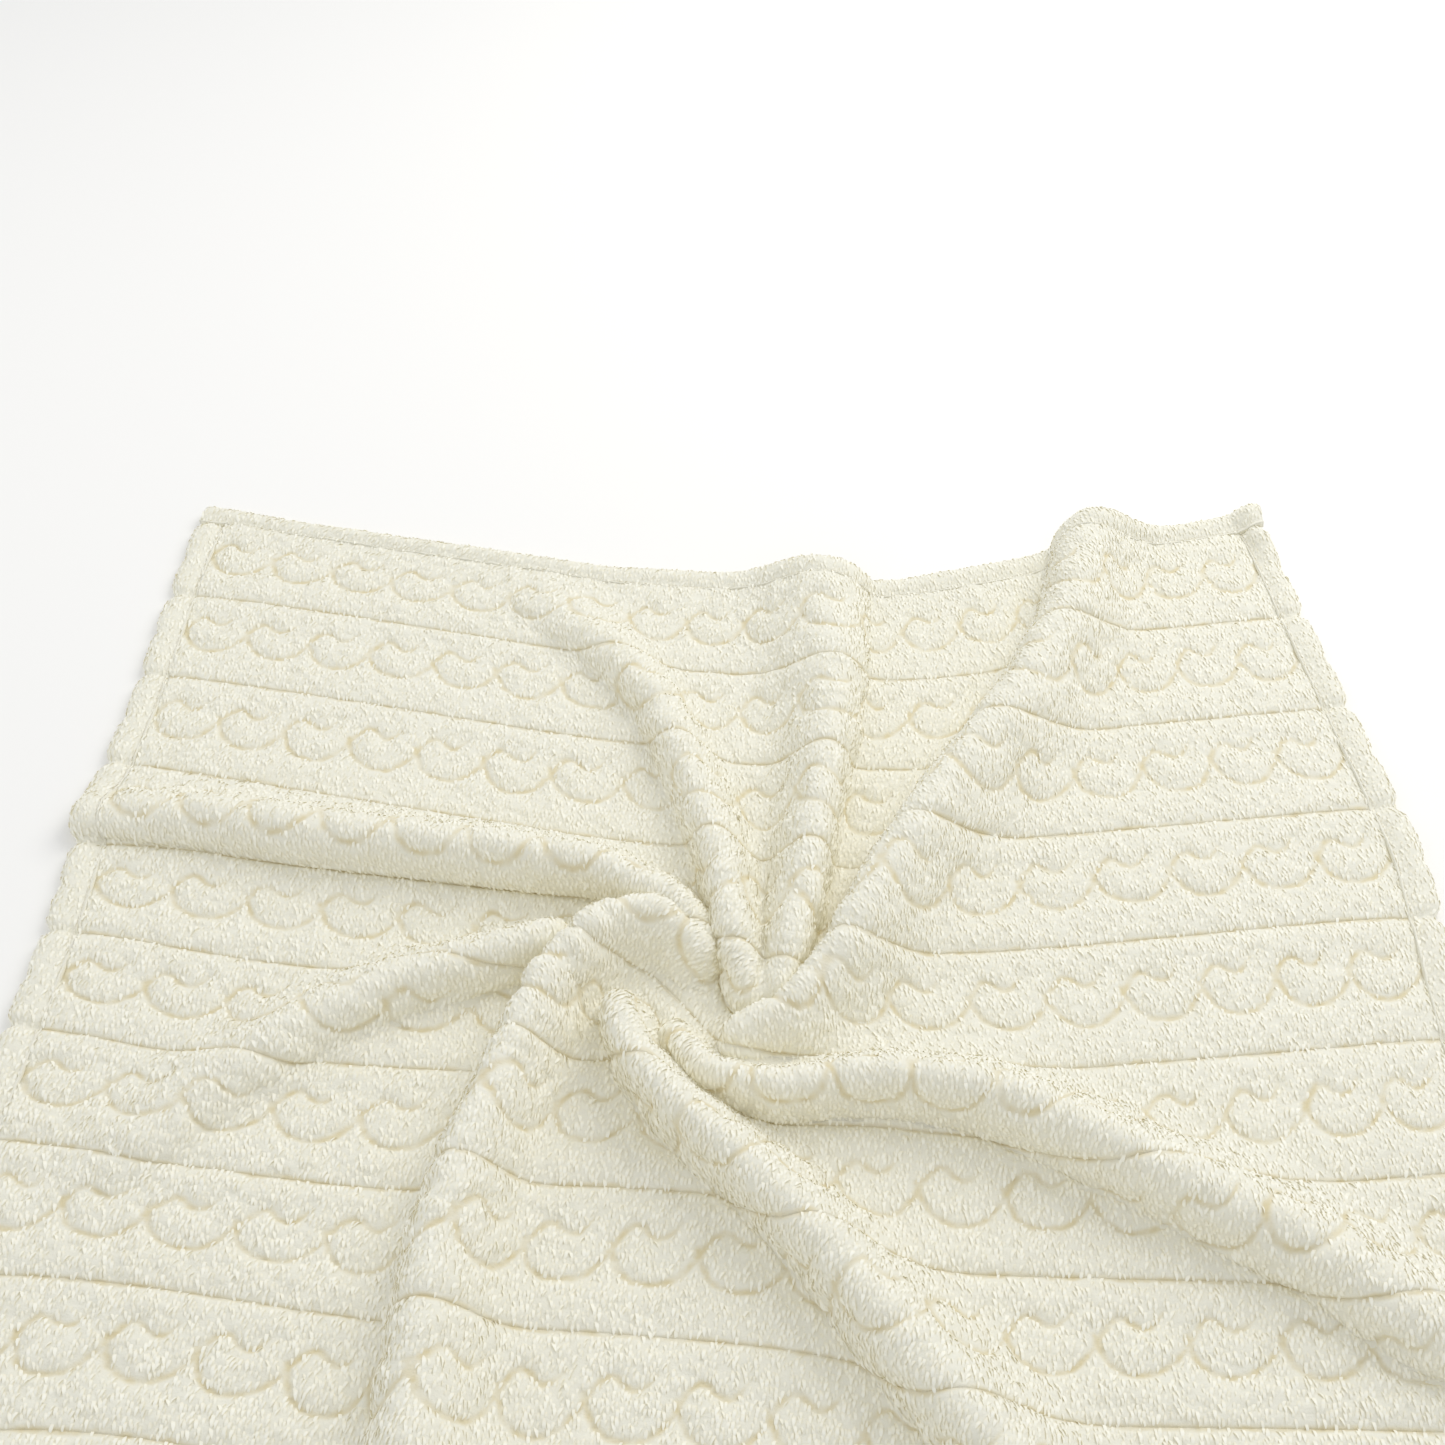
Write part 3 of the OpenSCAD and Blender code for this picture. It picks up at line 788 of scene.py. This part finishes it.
# The roll's outline: how far in from the outer edge and how high over the underside, in millimetres.
roll_outline = [(24, 0.6), (16, 0.3), (8, 0.5), (3, 1.6), (0.6, 3.6), (0, 6), (0.7, 8.6), (3, 11),
                (7, 12.6), (12, 13), (16, 12.4), (19, 11.4), (21.5, 10.4), (23.4, 9.8),
                (25, 9.0), (26.5, 9.8), (28, 10.2), (28, 4), (28, 1.2)]


def rounded(outline, count):
    """A closed smooth outline through the points, with count points."""
    p = np.array(outline, float)
    wide = np.concatenate([p[-1:], p, p[:2]])
    at = np.linspace(0, len(p), count, endpoint=False)
    return spline_weights(at + 1, len(wide)) @ wide


def hem(name, side, cad_node):
    """One hem, as a roll along its side of the cloth."""
    ends = side in ("far", "near")
    length = cut_w if ends else cut_l - 2 * hem_w
    begin = 0 if ends else hem_w
    run = np.linspace(begin, begin + length, int(length / hem_step) + 1)
    section = rounded(roll_outline, 32) / 1000
    inward = section[:, 0]
    across = inward if side in ("left", "far") else (cut_w if side == "right" else cut_l) - inward
    flat_run, flat_across = np.meshgrid(run, across, indexing="ij")
    flat_u, flat_v = (flat_run, flat_across) if ends else (flat_across, flat_run)
    height = np.broadcast_to(section[:, 1], flat_run.shape).copy()
    top = np.clip((height - 0.004) / 0.004, 0, 1)
    lumps = 0.0006 * tufts(flat_u, flat_v, 0.007, 11) + 0.0004 * tufts(flat_u, flat_v, 0.0035, 12)
    puff = 0.0012 * tufts(flat_u, flat_v, 0.05, 13)
    if not ends:
        down = (flat_v - hem_w) / row_pitch
        gap = np.abs(down - np.round(down)) * row_pitch
        puff = puff - 0.0042 * np.exp(-(gap / 0.006) ** 2)
    height += top * (lumps + puff)
    if ends:
        points = on_cloth(run, across, height)
    else:
        points = on_cloth(across, run, height.T).transpose(1, 0, 2)
        # the furrows that run across draw the roll in, so its outline is scalloped
        way = points[:, 24] - points[:, 9]
        way /= np.linalg.norm(way, axis=-1, keepdims=True) + 1e-9
        halfway = np.abs(down - 0.5 - np.round(down - 0.5)) * row_pitch
        drawn = (0.0058 * np.exp(-(gap / 0.009) ** 2) + 0.0036 * np.exp(-(halfway / 0.010) ** 2) - 0.0016
                 ) * np.clip(1 - inward / 0.018, 0, 1)
        points = points + drawn[..., None] * way[:, None]
    uv = np.stack([flat_u, flat_v], -1).reshape(-1, 2)
    stations, size = points.shape[:2]
    index = np.arange(stations * size).reshape(stations, size)
    turned = np.roll(index, -1, 1)
    quads = np.stack([index[:-1], turned[:-1], turned[1:], index[1:]], -1).reshape(-1, 4)
    faces = list(quads) + [index[0, ::-1], index[-1]]
    if side in ("near", "left"):
        faces = [f[::-1] for f in faces]
    made = new_piece(name, points.reshape(-1, 3), faces, hem_fleece, uv)
    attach(made, "throw")
    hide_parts(cad_node)
    outer = points[:, roll_top]
    # the pile points towards the near end on all four, as it does on the face
    comb = np.gradient(outer, axis=1 if ends else 0) * (-1 if side == "near" else 1)
    if side in ("near", "left"):
        outer, comb = outer[:, ::-1], comb[:, ::-1]
    # none grow where the label is caught in the near hem
    by_label = (side == "near") & (np.abs(outer[..., 0]) < 0.022) & (outer[..., 1] < -0.672)
    pile_locks(f"{side}_hem_locks", outer, np.where(by_label, 0.0, 1.0), 20 + len(side), cad_node,
               0.0034, comb)
    return made


for side in ("far", "near", "left", "right"):
    hem(f"{side}_hem_roll", side, f"{side}_hem")


# ---------------------------------------------------------------- the hems' lockstitch
# Fine spun polyester, sewn through both layers of each hem. The needle thread lies in the furrow on
# the face, the bobbin thread on the underside; each stitch is a short bead of thread.

thread_d = 0.0007
stitch_pitch = 0.0035
stitch_line = 0.0252


def spun_thread(name):
    """Two-ply spun polyester sewing thread: cream, slightly shiny, with its twist as a fine slant."""
    made, tree, output = new_material(name)
    place = node(tree, "ShaderNodeTexCoord")
    twist = node(tree, "ShaderNodeTexWave", {"bands_direction": "DIAGONAL"}, Vector=place.outputs["Object"],
                 Scale=1 / 0.0006)
    ply = node(tree, "ShaderNodeMix", {"data_type": "RGBA"}, Factor=twist.outputs[1])
    ply.inputs[6].default_value = linear("e6dfca")
    ply.inputs[7].default_value = linear("f4f0e2")
    shader = node(tree, "ShaderNodeBsdfPrincipled", Base_Color=ply.outputs[2], Roughness=0.55,
                  Sheen_Weight=0.2)
    bump = node(tree, "ShaderNodeBump", Strength=0.4, Distance=0.0001, Height=twist.outputs[1])
    tree.links.new(bump.outputs[0], shader.inputs["Normal"])
    tree.links.new(shader.outputs[0], output.inputs[0])
    return made


def stitch_tree():
    """Geometry nodes that lay one bead of thread on each point, along the seam."""
    tree = bpy.data.node_groups.new("lockstitches", "GeometryNodeTree")
    face = tree.interface
    face.new_socket("Geometry", in_out="INPUT", socket_type="NodeSocketGeometry")
    for name, value in (("Stitch Length", 0.0030), ("Thread Width", 0.0007)):
        face.new_socket(name, in_out="INPUT", socket_type="NodeSocketFloat").default_value = value
    face.new_socket("Thread", in_out="INPUT", socket_type="NodeSocketMaterial")
    face.new_socket("Geometry", in_out="OUTPUT", socket_type="NodeSocketGeometry")
    given = node(tree, "NodeGroupInput").outputs
    along = node(tree, "GeometryNodeInputNamedAttribute", {"data_type": "FLOAT_VECTOR"}, Name="along")
    up = node(tree, "GeometryNodeInputNamedAttribute", {"data_type": "FLOAT_VECTOR"}, Name="up")
    bead = node(tree, "GeometryNodeMeshUVSphere", Segments=6, Rings=4, Radius=0.5)
    size = node(tree, "ShaderNodeCombineXYZ", X=given["Stitch Length"], Y=given["Thread Width"],
                Z=given["Thread Width"])
    bead = node(tree, "GeometryNodeTransform", Geometry=bead.outputs[0], Scale=size.outputs[0])
    stood = node(tree, "FunctionNodeAlignRotationToVector", {"axis": "Z"}, Vector=up.outputs[0])
    turned = node(tree, "FunctionNodeAlignRotationToVector", {"axis": "X", "pivot_axis": "Z"},
                  Rotation=stood.outputs[0], Vector=along.outputs[0])
    sewn = node(tree, "GeometryNodeInstanceOnPoints", Points=given["Geometry"], Instance=bead.outputs[0],
                Rotation=turned.outputs[0])
    solid = node(tree, "GeometryNodeRealizeInstances", Geometry=sewn.outputs[0])
    smooth = node(tree, "GeometryNodeSetShadeSmooth", Geometry=solid.outputs[0])
    paint = node(tree, "GeometryNodeSetMaterial", Geometry=smooth.outputs[0], Material=given["Thread"])
    node(tree, "NodeGroupOutput", Geometry=paint.outputs[0])
    return tree


seam_tree = stitch_tree()
thread = spun_thread("spun polyester thread")
for side in ("far", "near", "left", "right"):
    length = (cut_w if side in ("far", "near") else cut_l) - 2 * hem_w
    run = hem_w + np.linspace(0, length, int(length / stitch_pitch) + 1)
    for kind, height in (("needle", 0.0094), ("bobbin", thread_d / 2)):
        across = {"far": stitch_line, "near": cut_l - stitch_line, "left": stitch_line,
                  "right": cut_w - stitch_line}[side]
        if side in ("far", "near"):
            line = on_cloth(run, [across], np.full((len(run), 1), height))[:, 0]
            raised = on_cloth(run, [across], np.full((len(run), 1), height + 0.01))[:, 0]
        else:
            line = on_cloth([across], run, np.full((1, len(run)), height))[0]
            raised = on_cloth([across], run, np.full((1, len(run)), height + 0.01))[0]
        line[:, 2] = np.maximum(line[:, 2], thread_d / 2)
        seam = grown(f"{side}_{kind}_stitches", line, [], seam_tree,
                     {"Stitch Length": stitch_pitch * 0.86, "Thread Width": thread_d, "Thread": thread},
                     {"along": np.gradient(line, axis=0), "up": raised - line})
        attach(seam, "throw")
        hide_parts(f"{side}_{kind}_thread")


# ---------------------------------------------------------------- the care label
# A blank woven satin tape, cut hot so that its ends do not fray, caught in the near hem's seam at the
# middle. It lies out over the floor and lifts on its stitched edge.

label_w, label_l, label_t = 0.030, 0.038, 0.0008


def satin_tape(name):
    """Woven polyester satin: white, smooth and slightly shiny, with fine ribs across the tape."""
    made, tree, output = new_material(name)
    place = node(tree, "ShaderNodeUVMap", {"uv_map": "Cloth"})
    ribs = node(tree, "ShaderNodeTexWave", {"bands_direction": "Y"}, Vector=place.outputs[0], Scale=1 / 0.0008)
    weave = node(tree, "ShaderNodeMix", {"data_type": "RGBA"}, Factor=ribs.outputs[1])
    weave.inputs[6].default_value = linear("f2f0ea")
    weave.inputs[7].default_value = linear("fbfaf6")
    shader = node(tree, "ShaderNodeBsdfPrincipled", Base_Color=weave.outputs[2], Roughness=0.4,
                  Sheen_Weight=0.15)
    bump = node(tree, "ShaderNodeBump", Strength=0.3, Distance=0.00005, Height=ribs.outputs[1])
    tree.links.new(bump.outputs[0], shader.inputs["Normal"])
    tree.links.new(shader.outputs[0], output.inputs[0])
    return made


across = np.linspace(-label_w / 2, label_w / 2, 16)
out = np.linspace(0, label_l, 24)
label_x, label_y = np.meshgrid(across, out, indexing="ij")
lift = 0.0010 + 0.0022 * (label_y / label_l) ** 2 + 0.0004 * np.sin(label_x * 160) * label_y / label_l
lower = np.stack([label_x, -0.6912 - label_y, lift], -1)
points = np.concatenate([lower + [0, 0, label_t], lower[:, ::-1]], 1)
flat_y = np.concatenate([label_y, label_y[:, ::-1]], 1)
uv = np.stack([np.broadcast_to(across[:, None], flat_y.shape), flat_y], -1).reshape(-1, 2)
index = np.arange(points.shape[0] * points.shape[1]).reshape(points.shape[:2])
turned = np.roll(index, -1, 1)
quads = np.stack([index[:-1], turned[:-1], turned[1:], index[1:]], -1).reshape(-1, 4)
faces = list(quads) + [index[0, ::-1], index[-1]]
label = new_piece("care_label_tape", points.reshape(-1, 3), faces, satin_tape("woven satin tape"), uv)
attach(label, "label")
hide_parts("care_label")
